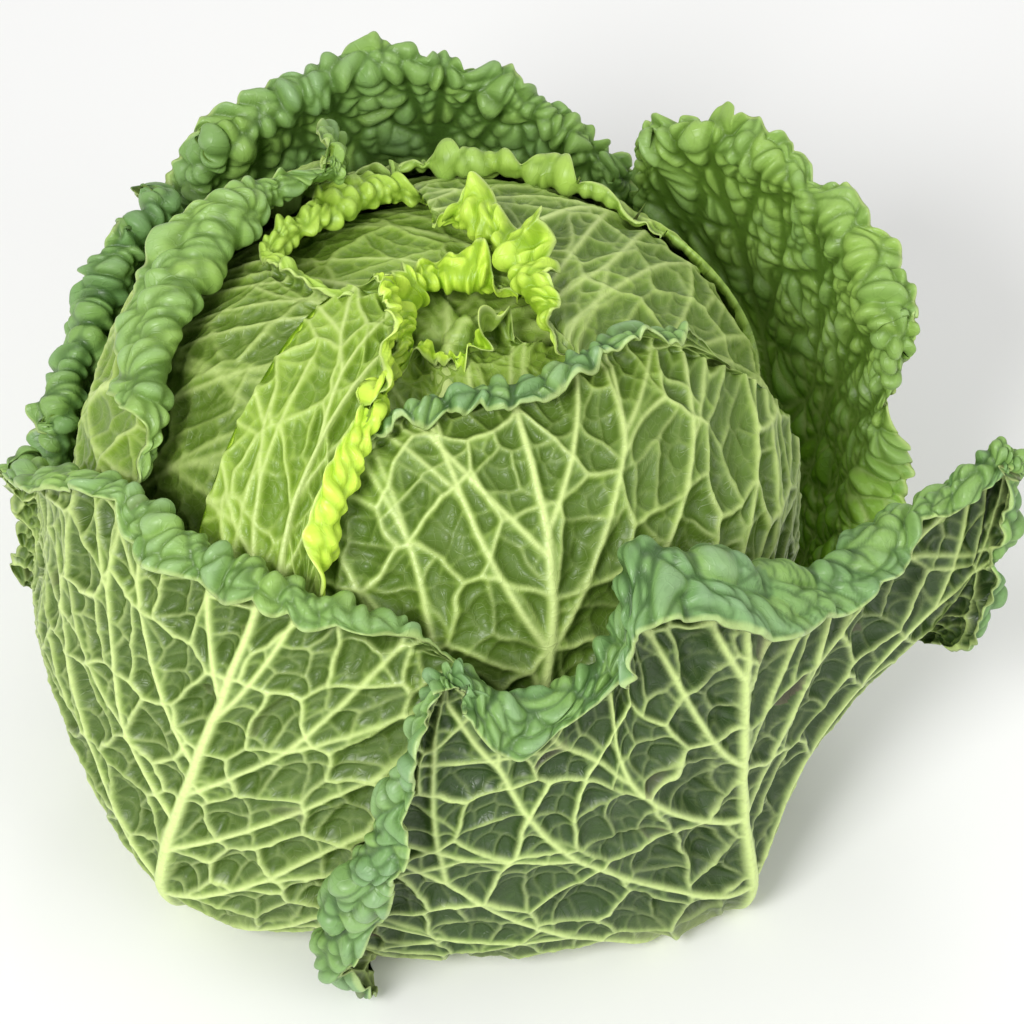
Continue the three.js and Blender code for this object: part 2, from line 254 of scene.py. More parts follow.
def head_radius(climb):
    """Distance from the head's centre to its nominal surface at a climb angle."""
    across = np.abs(np.sin(np.radians(climb))) / HEAD_RADIUS
    along = np.abs(np.cos(np.radians(climb))) / np.where(climb < 90, HEAD_BOTTOM, HEAD_TOP)
    return (across ** HEAD_SQUARENESS + along ** HEAD_SQUARENESS) ** (-1 / HEAD_SQUARENESS)


def stem_axis():
    """Middle of the stem, in mm. Only its place in plan is used."""
    low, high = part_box("stem")
    return (Vector(low) + Vector(high)) / 2 / MM


AXIS = stem_axis()


def place(azimuth, climb, off, floor):
    """Points of the shell, in mm, round the stem's axis."""
    reach = head_radius(climb) + off
    radius = reach * np.sin(np.radians(climb))
    raw = HEAD_CENTRE - reach * np.cos(np.radians(climb))
    z = floor + FLOOR_SOFTNESS * np.logaddexp(0, (raw - floor) / FLOOR_SOFTNESS)
    turn = np.radians(azimuth)
    return np.stack([AXIS.x + radius * np.cos(turn), AXIS.y + radius * np.sin(turn), z], -1)


def curve_at(points, t):
    """Smooth curve through the points (rows), at each t from 0 to 1."""
    points = np.array(points, float)
    last = len(points) - 1
    span = np.clip(np.floor(t * last).astype(int), 0, last - 1)
    x = (t * last - span)[..., None]
    a, b = points[np.maximum(span - 1, 0)], points[span]
    c, d = points[span + 1], points[np.minimum(span + 2, last)]
    return b + 0.5 * x * (c - a + x * (2 * a - 5 * b + 4 * c - d + x * (3 * (b - c) + d - a)))


def leaf_surface(leaf, u, v):
    """The leaf's plain sheet at u across and v from stem to tip, both arrays from 0 to 1."""
    base = leaf["layer"] * LAYER
    first = (leaf["base"][0], BASE_CLIMB, base)
    last = (leaf["base"][1], BASE_CLIMB, base)
    low = [first, *leaf["low"], leaf["top"][0]]
    high = [last, *leaf["high"], leaf["top"][-1]]
    across, along = u[..., None], v[..., None]
    start = np.array(first) * (1 - across) + np.array(last) * across
    sides = curve_at(low, v) * (1 - across) + curve_at(high, v) * across
    ends = start * (1 - along) + curve_at(leaf["top"], u) * along
    tips = np.array(low[-1]) * (1 - across) + np.array(high[-1]) * across
    point = sides + ends - (start * (1 - along) + tips * along)
    off = point[..., 2]
    for azimuth, climb, push, spread in leaf.get("folds", ()):
        away = ((point[..., 0] - azimuth) ** 2 + (point[..., 1] - climb) ** 2) / spread ** 2
        off = off + push * np.exp(-away)
    return place(point[..., 0], point[..., 1], off, FLOOR_CLEARANCE + leaf["floor"] * FLOOR_STEP)


# ---- small field tools ----

def ease(low, high, x):
    """Smooth step from 0 at low to 1 at high, whichever of the two is larger."""
    t = np.clip((x - low) / (high - low), 0, 1)
    return t * t * (3 - 2 * t)


def unit(vectors):
    return vectors / np.maximum(np.linalg.norm(vectors, axis=-1, keepdims=True), 1e-9)


def value_noise(x, y, size, rng):
    """Smooth random field, about -1 to 1, with features of the given size."""
    gx, gy = (x - x.min()) / size, (y - y.min()) / size
    table = rng.uniform(-1, 1, (int(gx.max()) + 3, int(gy.max()) + 3))
    i, j = gx.astype(int), gy.astype(int)
    fx, fy = ease(0, 1, gx - i), ease(0, 1, gy - j)
    near = table[i, j] * (1 - fx) + table[i + 1, j] * fx
    far = table[i, j + 1] * (1 - fx) + table[i + 1, j + 1] * fx
    return near * (1 - fy) + far * fy


# ---- veins ----

def grow_ribs(leaf_length, half_width, look, rng):
    """Midrib and forking side ribs as lines of (x, y, half thickness) in the leaf's flat plane."""
    steep, flat = look["spread"]
    top = leaf_length * 1.08
    ys = np.linspace(0, top, RIB_POINTS)
    sway = np.cumsum(rng.uniform(-1, 1, RIB_POINTS)) * 0.5
    mid = np.stack([sway, ys, look["thick"] * (2.3 * (1 - ys / top) ** 0.8 + 0.3)], 1)
    lines = [mid]
    for side in (-1, 1):
        for k in range(SIDE_RIBS):
            start = FIRST_RIB + RIB_RANGE * (k + rng.uniform(-0.25, 0.25)) / SIDE_RIBS
            at = mid[int(np.clip(start * (RIB_POINTS - 1), 1, RIB_POINTS - 2))]
            angle = math.radians(steep + (flat - steep) * k / (SIDE_RIBS - 1) + rng.uniform(-6, 6))
            thick = look["thick"] * (1.05 - 0.09 * k)
            lines += grow_branch(at, angle, side, thick, half_width * 1.6, 3, rng)
    return lines


def grow_branch(at, angle, side, thick, reach, forks, rng):
    """One side rib that bends towards the tip and forks."""
    points = [(at[0], at[1], thick)]
    x, y = at[0], at[1]
    lines = []
    turn = math.radians(rng.uniform(0.3, 0.7))
    fork_at = rng.uniform(0.2, 0.4) * reach
    gone = 0.0
    while gone < reach:
        angle = max(angle - turn + math.radians(rng.uniform(-2.2, 2.2)), math.radians(8))
        x += side * math.sin(angle) * BRANCH_STEP
        y += math.cos(angle) * BRANCH_STEP
        gone += BRANCH_STEP
        thin = max(thick * (1 - 0.8 * gone / reach), 0.3)
        points.append((x, y, thin))
        if forks and gone > fork_at:
            away = math.radians(rng.uniform(24, 36)) * (1 if forks % 2 else -1)
            lines += grow_branch((x, y), angle + away, side, thin * 0.75, reach * 0.55,
                                 max(forks - 2, 0), rng)
            fork_at = gone + rng.uniform(0.2, 0.32) * reach
            forks -= 1
            angle -= away * 0.4
    lines.append(np.array(points))
    return lines


def rib_fields(x, y, lines):
    """How deep each point is inside its nearest rib (negative outside), and the rib's half thickness."""
    inside = np.full(x.shape, -1e3)
    half = np.zeros(x.shape)
    for line in lines:
        near = ((x > line[:, 0].min() - RIB_REACH) & (x < line[:, 0].max() + RIB_REACH)
                & (y > line[:, 1].min() - RIB_REACH) & (y < line[:, 1].max() + RIB_REACH))
        px, py = x[near], y[near]
        best, thick = np.full(px.shape, -1e3), np.zeros(px.shape)
        for (ax, ay, aw), (bx, by, bw) in zip(line[:-1], line[1:]):
            dx, dy = bx - ax, by - ay
            t = np.clip(((px - ax) * dx + (py - ay) * dy) / (dx * dx + dy * dy), 0, 1)
            w = aw + (bw - aw) * t
            depth = w - np.hypot(px - ax - dx * t, py - ay - dy * t)
            better = depth > best
            best[better], thick[better] = depth[better], w[better]
        old = inside[near]
        better = best > old
        inside[near] = np.where(better, best, old)
        half[near] = np.where(better, thick, half[near])
    return inside, half


class Seeds:
    """Points scattered one to a square, for a mesh of cells of about one size."""

    def __init__(self, x, y, size, rng):
        self.size = size
        self.x0, self.y0 = x.min() - 3 * size, y.min() - 3 * size
        shape = (int((x.max() - self.x0) / size) + 5, int((y.max() - self.y0) / size) + 5)
        grid = np.stack(np.meshgrid(np.arange(shape[0]), np.arange(shape[1]), indexing="ij"), -1)
        self.points = (grid + rng.uniform(0.08, 0.92, grid.shape)) * size + (self.x0, self.y0)
        self.tag = rng.permutation(shape[0] * shape[1]).reshape(shape)
        self.parent = np.zeros(shape, int)

    def around(self, x, y):
        """The 25 seeds round each point: positions, tags and parents."""
        i = ((x - self.x0) / self.size).astype(int)
        j = ((y - self.y0) / self.size).astype(int)
        for di in range(-2, 3):
            for dj in range(-2, 3):
                a = np.clip(i + di, 0, self.tag.shape[0] - 1)
                b = np.clip(j + dj, 0, self.tag.shape[1] - 1)
                yield self.points[a, b], self.tag[a, b], self.parent[a, b]

    def within(self, x, y, parent):
        """Cell of each point among the seeds of its parent cell, and its distance to the cell's sides."""
        best = np.full(x.shape, 1e9)
        at = np.zeros(x.shape + (2,))
        own = np.full(x.shape, -1)
        for point, tag, group in self.around(x, y):
            distance = (x - point[..., 0]) ** 2 + (y - point[..., 1]) ** 2
            closer = (distance < best) & (group == parent)
            best = np.where(closer, distance, best)
            own = np.where(closer, tag, own)
            at = np.where(closer[..., None], point, at)
        edge = np.full(x.shape, 1e3)
        for point, tag, group in self.around(x, y):
            gap = point - at
            length = np.maximum(np.hypot(gap[..., 0], gap[..., 1]), 1e-6)
            distance = (x - point[..., 0]) ** 2 + (y - point[..., 1]) ** 2
            other = (tag != own) & (group == parent) & (own >= 0)
            edge = np.where(other, np.minimum(edge, (distance - best) / (2 * length)), edge)
        return own, edge


def cells_at(levels, x, y):
    """Tags and side distances of the cell of each point, level by level."""
    tags, edges = [np.zeros(x.shape, int)], []
    for level in levels:
        tag, edge = level.within(x, y, tags[-1])
        tags.append(tag)
        edges.append(edge)
    return tags, edges


def nested_net(x, y, sizes, rng):
    """A net of cells split into smaller cells: tags and distances to the cell sides, coarse to fine."""
    levels = []
    for size in sizes:
        seeds = Seeds(x, y, size, rng)
        seeds.parent = cells_at(levels, seeds.points[..., 0], seeds.points[..., 1])[0][-1]
        levels.append(seeds)
    return cells_at(levels, x, y)


def inflate(pin, load, rounds):
    """Height of a membrane puffed up by a load and held down where pin is large."""
    height = np.zeros(pin.shape)
    for _ in range(rounds):
        padded = np.pad(height, 1, mode="edge")
        mean = (padded[:-2, 1:-1] + padded[2:, 1:-1] + padded[1:-1, :-2] + padded[1:-1, 2:]) / 4
        height = (mean + load) / (1 + pin)
    return height


def soften(field, rounds):
    """Takes the steps of the grid out of a field."""
    for _ in range(rounds):
        for axis in (0, 1):
            field = 0.5 * field + 0.25 * (np.roll(field, 1, axis) + np.roll(field, -1, axis))
    return field


# ---- one leaf ----

class Sheet:
    """The grid of one leaf with its margin band, and the fields that shape and colour it."""

    def __init__(self, leaf, look):
        self.rng = np.random.default_rng(look["seed"])
        self.leaf, self.look = leaf, look
        self.shrink = (0.0, 0.0)
        probe = np.linspace(0, 1, PROBE)
        rows = self.surface(*np.meshgrid(probe, probe))
        self.length = np.linalg.norm(np.diff(rows[:, PROBE // 2], axis=0), axis=-1).sum()
        self.width = np.linalg.norm(np.diff(rows, axis=1), axis=-1).sum(axis=1).max()
        collar = look["collar"]
        self.shrink = (2 * look["inset"] / self.width, look["inset"] / self.length)
        step = look["step"] * 1
        eu, ev = collar / self.width, collar / self.length
        self.u, self.v = np.meshgrid(np.linspace(-eu, 1 + eu, int((self.width + 2 * collar) / step)),
                                     np.linspace(0, 1 + ev, int((self.length + collar) / step)))
        self.uc, self.vc = np.clip(self.u, 0, 1), np.clip(self.v, 0, 1)
        self.ex, self.ey = (self.u - self.uc) * self.width, (self.v - self.vc) * self.length
        self.beyond = np.maximum(np.abs(self.ex), np.abs(self.ey))
        self.flatten(probe)
        low_start, high_start = look["start"]
        start = low_start + (high_start - low_start) * self.uc
        self.free = ease(start, start + 0.25, self.v)
        self.along = np.arctan2(self.u - 0.5, self.v - 0.3) * ALONG_SCALE
        side = np.minimum(self.u + eu, 1 + eu - self.u) * self.width
        self.rim = np.minimum(side, (1 + ev - self.v) * self.length)
        self.near_rim = ease(28, 6, self.rim) * self.free
        self.roll_margin()

    def surface(self, u, v):
        """The plain sheet, drawn in from its outline by the inset."""
        across, along = self.shrink
        return leaf_surface(self.leaf, 0.5 + (u - 0.5) * (1 - across), v * (1 - along))

    def wave(self, size):
        """Random waves along the margin, about -1 to 1."""
        return value_noise(self.along, self.along * 0, size, self.rng)

    def ripple(self, length, height, reach):
        """Waves along the margin that die out inwards from the rim."""
        return self.wave(length) * height * np.exp(-np.maximum(self.rim, 0) / reach)

    def flatten(self, probe):
        """Flat coordinates of the sheet: x across from the midrib's line, y up from the stem."""
        rows = self.surface(*np.meshgrid(probe, probe))
        across = np.linalg.norm(np.diff(rows, axis=1), axis=-1)
        x = np.concatenate([np.zeros((PROBE, 1)), np.cumsum(across, axis=1)], axis=1)
        along = np.linalg.norm(np.diff(rows, axis=0), axis=-1)
        y = np.concatenate([np.zeros((1, PROBE)), np.cumsum(along, axis=0)], axis=0)
        base_u, tip_u = self.look["rib"]
        rib = base_u + (tip_u - base_u) * probe
        x -= np.array([np.interp(rib[k], probe, x[k]) for k in range(PROBE)])[:, None]
        fi, fj = self.vc * (PROBE - 1.001), self.uc * (PROBE - 1.001)
        i, j = fi.astype(int), fj.astype(int)
        fi, fj = fi - i, fj - j

        def sample(table):
            near = table[i, j] * (1 - fi) + table[i + 1, j] * fi
            far = table[i, j + 1] * (1 - fi) + table[i + 1, j + 1] * fi
            return near * (1 - fj) + far * fj

        rounding = self.beyond / np.maximum(np.hypot(self.ex, self.ey), 1e-9)
        self.x = sample(x) + self.ex * rounding
        self.y = sample(y) + self.ey * rounding

    def tangents(self):
        """Unit directions across and along the plain sheet, and its outward normal."""
        delta = 1e-3
        across = (self.surface(np.clip(self.uc + delta, 0, 1), self.vc)
                  - self.surface(np.clip(self.uc - delta, 0, 1), self.vc))
        along = (self.surface(self.uc, np.clip(self.vc + delta, 0, 1))
                 - self.surface(self.uc, np.clip(self.vc - delta, 0, 1)))
        across, along = unit(across), unit(along)
        return across, along, unit(np.cross(across, along))

    def roll_margin(self):
        """Carries the sheet past its outline as a ruffled band that rolls outwards and down."""
        look, collar = self.look, self.look["collar"]
        across, along, normal = self.tangents()
        heading = unit(across * self.ex[..., None] + along * self.ey[..., None])
        low, tip, high = look["sides"]
        sideways = np.clip(self.ex / np.maximum(self.beyond, 1e-9), -1, 1)
        towards_low, towards_high = ease(0.25, 0.0, self.uc), ease(0.75, 1.0, self.uc)
        tip_share = tip + (low - tip) * towards_low + (high - tip) * towards_high
        share = tip_share + (np.where(sideways < 0, low, high) - tip_share) * np.abs(sideways)
        share = share * self.free
        reach = self.beyond * share * np.clip(0.85 + 0.4 * self.wave(16), 0.45, 1.2)
        scallop = np.abs(np.sin(self.along * math.pi / LOBE + 2.2 * self.wave(21)))
        reach -= SCALLOP * (1 - scallop) * ease(0.4, 1.0, self.beyond / collar) * share
        bend = look["bend"] * (1 + 0.25 * self.wave(20))
        roll = np.radians(look["roll"] * (1 + 0.16 * self.wave(24)))
        turned = np.minimum(reach, bend * roll)
        angle, hang = turned / bend, reach - turned
        forward = bend * np.sin(angle) + hang * np.cos(angle)
        out = bend * (1 - np.cos(angle)) + hang * np.sin(angle)
        points = self.surface(self.uc, self.vc) + heading * forward[..., None] + normal * out[..., None]
        # long waves through the whole border, shorter ones at the very edge, and a slow swell
        loose = self.free * np.clip(share + 0.25, 0, 1) * look["ruffle"]
        swell = value_noise(self.x, self.y, SWELL_LENGTH, self.rng) * SWELL_HEIGHT * ease(0.2, 0.6, self.v)
        lift = (self.ripple(*BORDER_WAVE) + self.ripple(*EDGE_WAVE)) * loose + swell
        lift += self.wave(PLEAT_LENGTH) * look["pleat"] * ease(15, 3, self.rim) * self.free
        self.normal = unit(np.cross(np.gradient(points, axis=1), np.gradient(points, axis=0)))
        self.points = points + self.normal * lift[..., None]

    def warped(self, field):
        """A flat coordinate with waves added, so that the vein net isn't too regular."""
        for length, depth in NET_WARP:
            field = field + depth * value_noise(self.x, self.y, length, self.rng)
        return field

    def grow_veins(self):
        """Relief and vein fields from the ribs and the nested net."""
        look, rng = self.look, self.rng
        x = self.warped(self.x)
        y = self.warped(self.y)
        lines = grow_ribs(self.length, self.width / 2, look, rng)
        inside, half = rib_fields(self.x, self.y, lines)
        inside = inside - 1.2 * ease(16, 3, self.rim)
        tags, gaps = nested_net(x, y, look["net"], rng)
        bold, medium, fine = gaps
        vary = 1 + 0.35 * value_noise(self.x, self.y, 19, rng)
        rib = ease(-0.65, 0.4, inside)
        net = np.maximum.reduce([ease(begins, full, gap / vary) * amount
                                 for (begins, full, amount), gap in zip(NET_PALE, gaps)])
        self.vein = np.maximum(rib * (0.5 + 0.5 * look["vein"]), net * look["vein"])
        self.net = np.maximum(ease(1.1, 0.1, fine), ease(1.4, 0.2, medium))
        # the membrane between the veins: large pockets held by bold veins, small ones by all veins
        area = np.abs(np.gradient(self.x, axis=1) * np.gradient(self.y, axis=0))
        ribs = 0.9 * ease(-2.0, 0.3, inside) ** 3
        edges = ease(1.8, 0.3, bold) ** 3
        large = inflate(ribs + 0.5 * edges + 0.05 * ease(1.3, 0.2, medium) ** 2 + 0.0008,
                        BLOW * area, LARGE_ROUNDS)
        small = inflate(ribs + 0.6 * edges + 0.5 * ease(1.5, 0.2, medium) ** 2
                        + 0.9 * ease(1.05, 0.1, fine) ** 2 + 0.002, BLOW * area, SMALL_ROUNDS)
        self.large = np.clip(large / np.percentile(large, 96), 0, 1.4)
        small = small / np.percentile(small, 96)
        self.small = 1.5 * small / (0.5 + small)
        ridge = np.clip(half, 0, 2.6) * 0.8 * ease(-1.4, 1.0, inside)
        mesh = sum(amount * ease(begins, full, gap)
                   for (begins, full, amount), gap in zip(NET_RAISED, gaps))
        self.ridge = soften(np.maximum(ridge, mesh), 1) * ease(0, 10, self.rim)
        self.vein = soften(self.vein, 1)
        self.tag = (tags[2] % 97) / 97.0
        self.tag_fine = (tags[3] % 89) / 89.0

    def build(self, name):
        """Closed mesh: the outer face with raised veins, the inner face, and the edge between them."""
        self.grow_veins()
        big, little = self.look["puff"]
        relief = ease(0.05, 0.3, self.v)
        puff = big * self.large * (0.75 + 0.5 * self.tag) * (1 - 0.5 * self.near_rim)
        puff += (little + RIM_PUFF * self.near_rim) * self.small * (0.7 + 0.6 * self.tag_fine)
        puff = soften(puff, 2)
        middle = self.points - self.normal * (puff * relief)[..., None]
        outer = middle + self.normal * (SHEET / 2 + self.ridge * relief)[..., None]
        inner = middle - self.normal * (SHEET / 2)
        rows, columns = self.u.shape
        count = rows * columns
        ids = np.arange(count).reshape(rows, columns)
        a, b, c, d = ids[:-1, :-1], ids[:-1, 1:], ids[1:, 1:], ids[1:, :-1]
        front = np.stack([a, b, c, d], -1).reshape(-1, 4)
        back = np.stack([d, c, b, a], -1).reshape(-1, 4) + count
        ring = np.concatenate([ids[0, :-1], ids[:-1, -1], ids[-1, :0:-1], ids[:0:-1, 0]])
        following = np.roll(ring, -1)
        edge = np.stack([ring, ring + count, following + count, following], -1)
        faces = np.concatenate([front, back, edge])
        points = np.concatenate([outer.reshape(-1, 3), inner.reshape(-1, 3)])
        points[:, 2] = np.maximum(points[:, 2], TABLE_GAP)
        return make_mesh(name, points * MM, faces, self.attributes(count))

    def attributes(self, count):
        """Fields of both faces, for the material and the texture layout."""
        def both(field):
            return np.tile(np.asarray(field, float).ravel(), 2)

        side = np.concatenate([np.zeros(count), np.ones(count)])
        # depth of the blisters, stored as the dome field: mask of the painted shade in the pockets and
        # grooves and of the painted highlights on the blister tops
        depth = 0.6 * self.large * (1 - 0.8 * self.near_rim) + (0.55 + 0.45 * self.near_rim) * self.small
        wide = both(self.u - self.u.min()) / np.ptp(self.u)
        tall = both(self.v) / self.v.max()
        return {"vein": both(self.vein), "dome": both(depth), "net": both(self.net), "rim": both(self.rim),
                "up": both(self.v), "tag": both(self.tag), "tag_fine": both(self.tag_fine), "side": side,
                "flat": np.stack([both(self.x), both(self.y), side * FACE_SHIFT], -1),
                "uv": np.stack([(wide * 0.98 + 0.01 + side) / 2, tall * 0.98 + 0.01], -1)}


def make_mesh(name, points, faces, fields):
    """A mesh object of four-sided faces, with the fields stored on its points."""
    mesh = bpy.data.meshes.new(name)
    mesh.vertices.add(len(points))
    mesh.vertices.foreach_set("co", points.astype(np.float32).ravel())
    mesh.loops.add(faces.size)
    mesh.loops.foreach_set("vertex_index", faces.astype(np.int32).ravel())
    mesh.polygons.add(len(faces))
    mesh.polygons.foreach_set("loop_start", np.arange(0, faces.size, 4, dtype=np.int32))
    mesh.polygons.foreach_set("loop_total", np.full(len(faces), 4, np.int32))
    uv = fields.pop("uv")
    layer = mesh.uv_layers.new(name="OFBake")
    layer.data.foreach_set("uv", uv[faces.ravel()].astype(np.float32).ravel())
    for key, values in fields.items():
        vector = values.ndim == 2
        store = mesh.attributes.new(key, "FLOAT_VECTOR" if vector else "FLOAT", "POINT")
        store.data.foreach_set("vector" if vector else "value", values.astype(np.float32).ravel())
    mesh.update(calc_edges=True)
    mesh.validate()
    mesh.shade_smooth()
    piece = bpy.data.objects.new(name, mesh)
    bpy.context.scene.collection.objects.link(piece)
    return piece


# ---- materials ----

class Nodes:
    """Short way to write a node tree."""

    def __init__(self, name):
        self.material = bpy.data.materials.new(name)
        self.material.use_nodes = True
        self.tree = self.material.node_tree
        self.shader = self.tree.nodes["Principled BSDF"]

    def add(self, kind, **settings):
        """A new node; inputs holds numbers, or the outputs to link."""
        node = self.tree.nodes.new(kind)
        inputs = settings.pop("inputs", {})
        for key, value in settings.items():
            setattr(node, key, value)
        for key, value in inputs.items():
            self.wire(value, node.inputs[key])
        return node

    def wire(self, value, socket):
        """Links an output to a socket, or sets the socket's own value."""
        if isinstance(value, bpy.types.NodeSocket):
            self.tree.links.new(value, socket)
        else:
            socket.default_value = value

    def field(self, name):
        """Reads one of the fields stored on the mesh."""
        return self.add("ShaderNodeAttribute", attribute_name=name)

    def number(self, name):
        return self.field(name).outputs["Fac"]

    def math(self, operation, a, b):
        return self.add("ShaderNodeMath", operation=operation, inputs={0: a, 1: b}).outputs[0]

    def span(self, value, low, high, to_low=0.0, to_high=1.0):
        """Smooth step of a value from to_low at low to to_high at high."""
        node = self.add("ShaderNodeMapRange", interpolation_type="SMOOTHSTEP",
                        inputs={"Value": value, "From Min": low, "From Max": high,
                                "To Min": to_low, "To Max": to_high})
        return node.outputs["Result"]

    def blend(self, amount, a, b):
        """Colour a where the amount is 0 and colour b where it is 1."""
        node = self.add("ShaderNodeMix", data_type="RGBA")
        self.wire(amount, node.inputs[0])
        self.wire(a, node.inputs[6])
        self.wire(b, node.inputs[7])
        return node.outputs[2]

    def noise(self, vector, scale, detail):
        inputs = {"Vector": vector, "Scale": scale, "Detail": detail}
        return self.add("ShaderNodeTexNoise", inputs=inputs).outputs[0]


def rgb(r, g, b):
    """Linear colour from the usual 0-255 numbers."""
    def linear(c):
        c /= 255
        return c / 12.92 if c <= 0.04045 else ((c + 0.055) / 1.055) ** 2.4
    return (linear(r), linear(g), linear(b), 1.0)


VEIN_PALE, VEIN_DARK = rgb(228, 244, 160), rgb(212, 232, 146)
OUTSIDE_PALE, OUTSIDE_DARK = rgb(170, 204, 70), rgb(86, 114, 52)
# pocket colours: painted shade for the bottoms of the outer face's pockets, also used for the leaf's fine
# random flecks
POCKET_SHADE_AND_FLECK_PALE, POCKET_SHADE_AND_FLECK_DARK = rgb(128, 164, 46), rgb(44, 68, 26)
INSIDE_PALE, INSIDE_DARK = rgb(206, 238, 80), rgb(114, 154, 90)
# groove colours: painted shade in the grooves between the inner face's blisters
GROOVE_SHADE_PALE, GROOVE_SHADE_DARK = rgb(144, 184, 30), rgb(50, 84, 32)
# painted light shining through the foot of the inner face
GLOW = rgb(134, 190, 10)
# painted highlight on the tops of the inner face's blisters
BLISTER_HIGHLIGHT = rgb(156, 184, 158)
SPOT = rgb(112, 88, 82)


def mixed(pale, dark, tone):
    """A colour between pale, tone 0, and dark, tone 1."""
    return tuple(a * (1 - tone) + b * tone for a, b in zip(pale, dark))


def leaf_material(name, look):
    """Leaf skin: pale raised veins outside with painted shade in its pockets; inside, painted shade in the
    grooves, painted highlights on the blister tops and painted light through the foot.
    """
    tone, inner_tone = look["tone"], look["inner_tone"]
    n = Nodes(name)
    flat = n.field("flat").outputs["Vector"]
    vein, dome, side, net = n.number("vein"), n.number("dome"), n.number("side"), n.number("net")
    rim, up, tag = n.number("rim"), n.number("up"), n.number("tag")
    patch = n.noise(flat, 0.035, 3.0)
    grain = n.noise(flat, 0.55, 4.0)
    fine = n.add("ShaderNodeTexVoronoi", feature="DISTANCE_TO_EDGE", inputs={"Vector": flat, "Scale": 0.42})
    hair = n.span(fine.outputs["Distance"], 0.07, 0.0)
    shade = n.math("ADD", n.math("MULTIPLY", patch, 0.7), n.math("MULTIPLY", tag, 0.45))

    # outer face
    pocket_shade_and_fleck = mixed(POCKET_SHADE_AND_FLECK_PALE, POCKET_SHADE_AND_FLECK_DARK, tone)
    outside = n.blend(n.span(shade, 0.25, 0.85), mixed(OUTSIDE_PALE, OUTSIDE_DARK, tone * 0.8),
                      mixed(OUTSIDE_PALE, OUTSIDE_DARK, min(tone * 1.15, 1)))
    # painted shade: the outer face turns to the pocket colour towards the bottom of each pocket
    outside = n.blend(n.span(dome, 0.1 - 0.1 * tone, 0.9 - 0.45 * tone, 0.0, 0.92), outside, pocket_shade_and_fleck)
    outside = n.blend(n.math("MULTIPLY", hair, 0.14), outside, mixed(VEIN_PALE, OUTSIDE_DARK, tone))
    outside = n.blend(vein, outside, mixed(VEIN_PALE, VEIN_DARK, tone))
    base = n.span(up, 0.36, 0.14)
    outside = n.blend(n.math("MULTIPLY", base, 0.7), outside, VEIN_PALE)

    # inner face
    inside = n.blend(n.span(shade, 0.25, 0.85), mixed(INSIDE_PALE, INSIDE_DARK, inner_tone * 0.85),
                     mixed(INSIDE_PALE, INSIDE_DARK, inner_tone))
    # painted shade: the inner face darkens in the grooves between blisters and along the vein net
    groove_shade = n.math("MAXIMUM", n.span(dome, 0.5, 0.05, 0.0, 0.9), n.math("MULTIPLY", net, 0.6))
    inside = n.blend(groove_shade, inside, mixed(GROOVE_SHADE_PALE, GROOVE_SHADE_DARK, inner_tone))
    # painted highlight: pale grey-green on the tops of the inner face's blisters, in patches
    blister_highlight = n.math("MULTIPLY", n.span(dome, 0.5, 1.2), n.span(patch, 0.4, 0.65))
    inside = n.blend(n.math("MULTIPLY", blister_highlight, 0.3 * inner_tone), inside, BLISTER_HIGHLIGHT)
    # painted light through the leaf: the foot of the inner face and its veins turn bright yellow-green
    low = n.span(up, 0.82, 0.5)
    inside = n.blend(n.math("MULTIPLY", low, 0.75 * look["glow"]), inside, GLOW)
    glowing_net = n.math("MULTIPLY", n.math("MULTIPLY", n.math("MAXIMUM", vein, net), low), 0.5 * look["glow"])
    inside = n.blend(glowing_net, inside, VEIN_PALE)

    skin = n.blend(side, outside, inside)
    skin = n.blend(n.span(rim, 1.6, 0.2, 0.0, 0.45), skin, mixed(VEIN_PALE, VEIN_DARK, inner_tone))
    # fine random flecks in the pocket colour: the leaf's own mottle, not shade
    skin = n.blend(n.span(grain, 0.45, 0.8, 0.0, 0.2), skin, pocket_shade_and_fleck)
    spots = n.math("MULTIPLY", n.span(n.number("tag_fine"), 0.955, 0.975), n.span(patch, 0.45, 0.6))
    skin = n.blend(n.math("MULTIPLY", spots, max(tone - 0.6, 0.0)), skin, SPOT)
    n.wire(skin, n.shader.inputs["Base Color"])

    n.wire(n.span(grain, 0.2, 0.8, 0.34, 0.5), n.shader.inputs["Roughness"])
    n.shader.inputs["Specular IOR Level"].default_value = 0.45
    relief = n.math("ADD", n.math("MULTIPLY", grain, 0.5), n.math("MULTIPLY", hair, 0.3))
    bump = n.add("ShaderNodeBump", inputs={"Strength": 0.4, "Distance": 0.0006, "Height": relief})
    n.wire(bump.outputs[0], n.shader.inputs["Normal"])
    return n.material


def stem_material():
    """Cut stem: pale fibrous flesh with darker blotches."""
    n = Nodes("stem_flesh")
    place_at = n.add("ShaderNodeTexCoord").outputs["Object"]
    streak = n.noise(place_at, 320.0, 4.0)
    blotch = n.noise(place_at, 60.0, 3.0)
    colour = n.blend(n.span(streak, 0.3, 0.7), rgb(222, 230, 178), rgb(186, 196, 128))
    colour = n.blend(n.span(blotch, 0.5, 0.75, 0.0, 0.5), colour, rgb(168, 150, 96))
    n.wire(colour, n.shader.inputs["Base Color"])
    n.shader.inputs["Roughness"].default_value = 0.6
    bump = n.add("ShaderNodeBump", inputs={"Strength": 0.5, "Distance": 0.0008, "Height": streak})
    n.wire(bump.outputs[0], n.shader.inputs["Normal"])
    return n.material


# ---- pieces ----

def add_leaf(name):
    """The detailed skin of one leaf, in place of its CAD solid."""
    look = LOOKS[name]
    piece = Sheet(LEAVES[name], look).build(name + "_skin")
    piece.data.materials.append(leaf_material(name + "_skin", look))
    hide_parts(name)
    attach(piece, "root")


def dress_frame_node(name, material):
    """Gives a CAD node that stays in view its finished material."""
    node = frame["nodes"][name]
    node.data.materials.clear()
    node.data.materials.append(material)


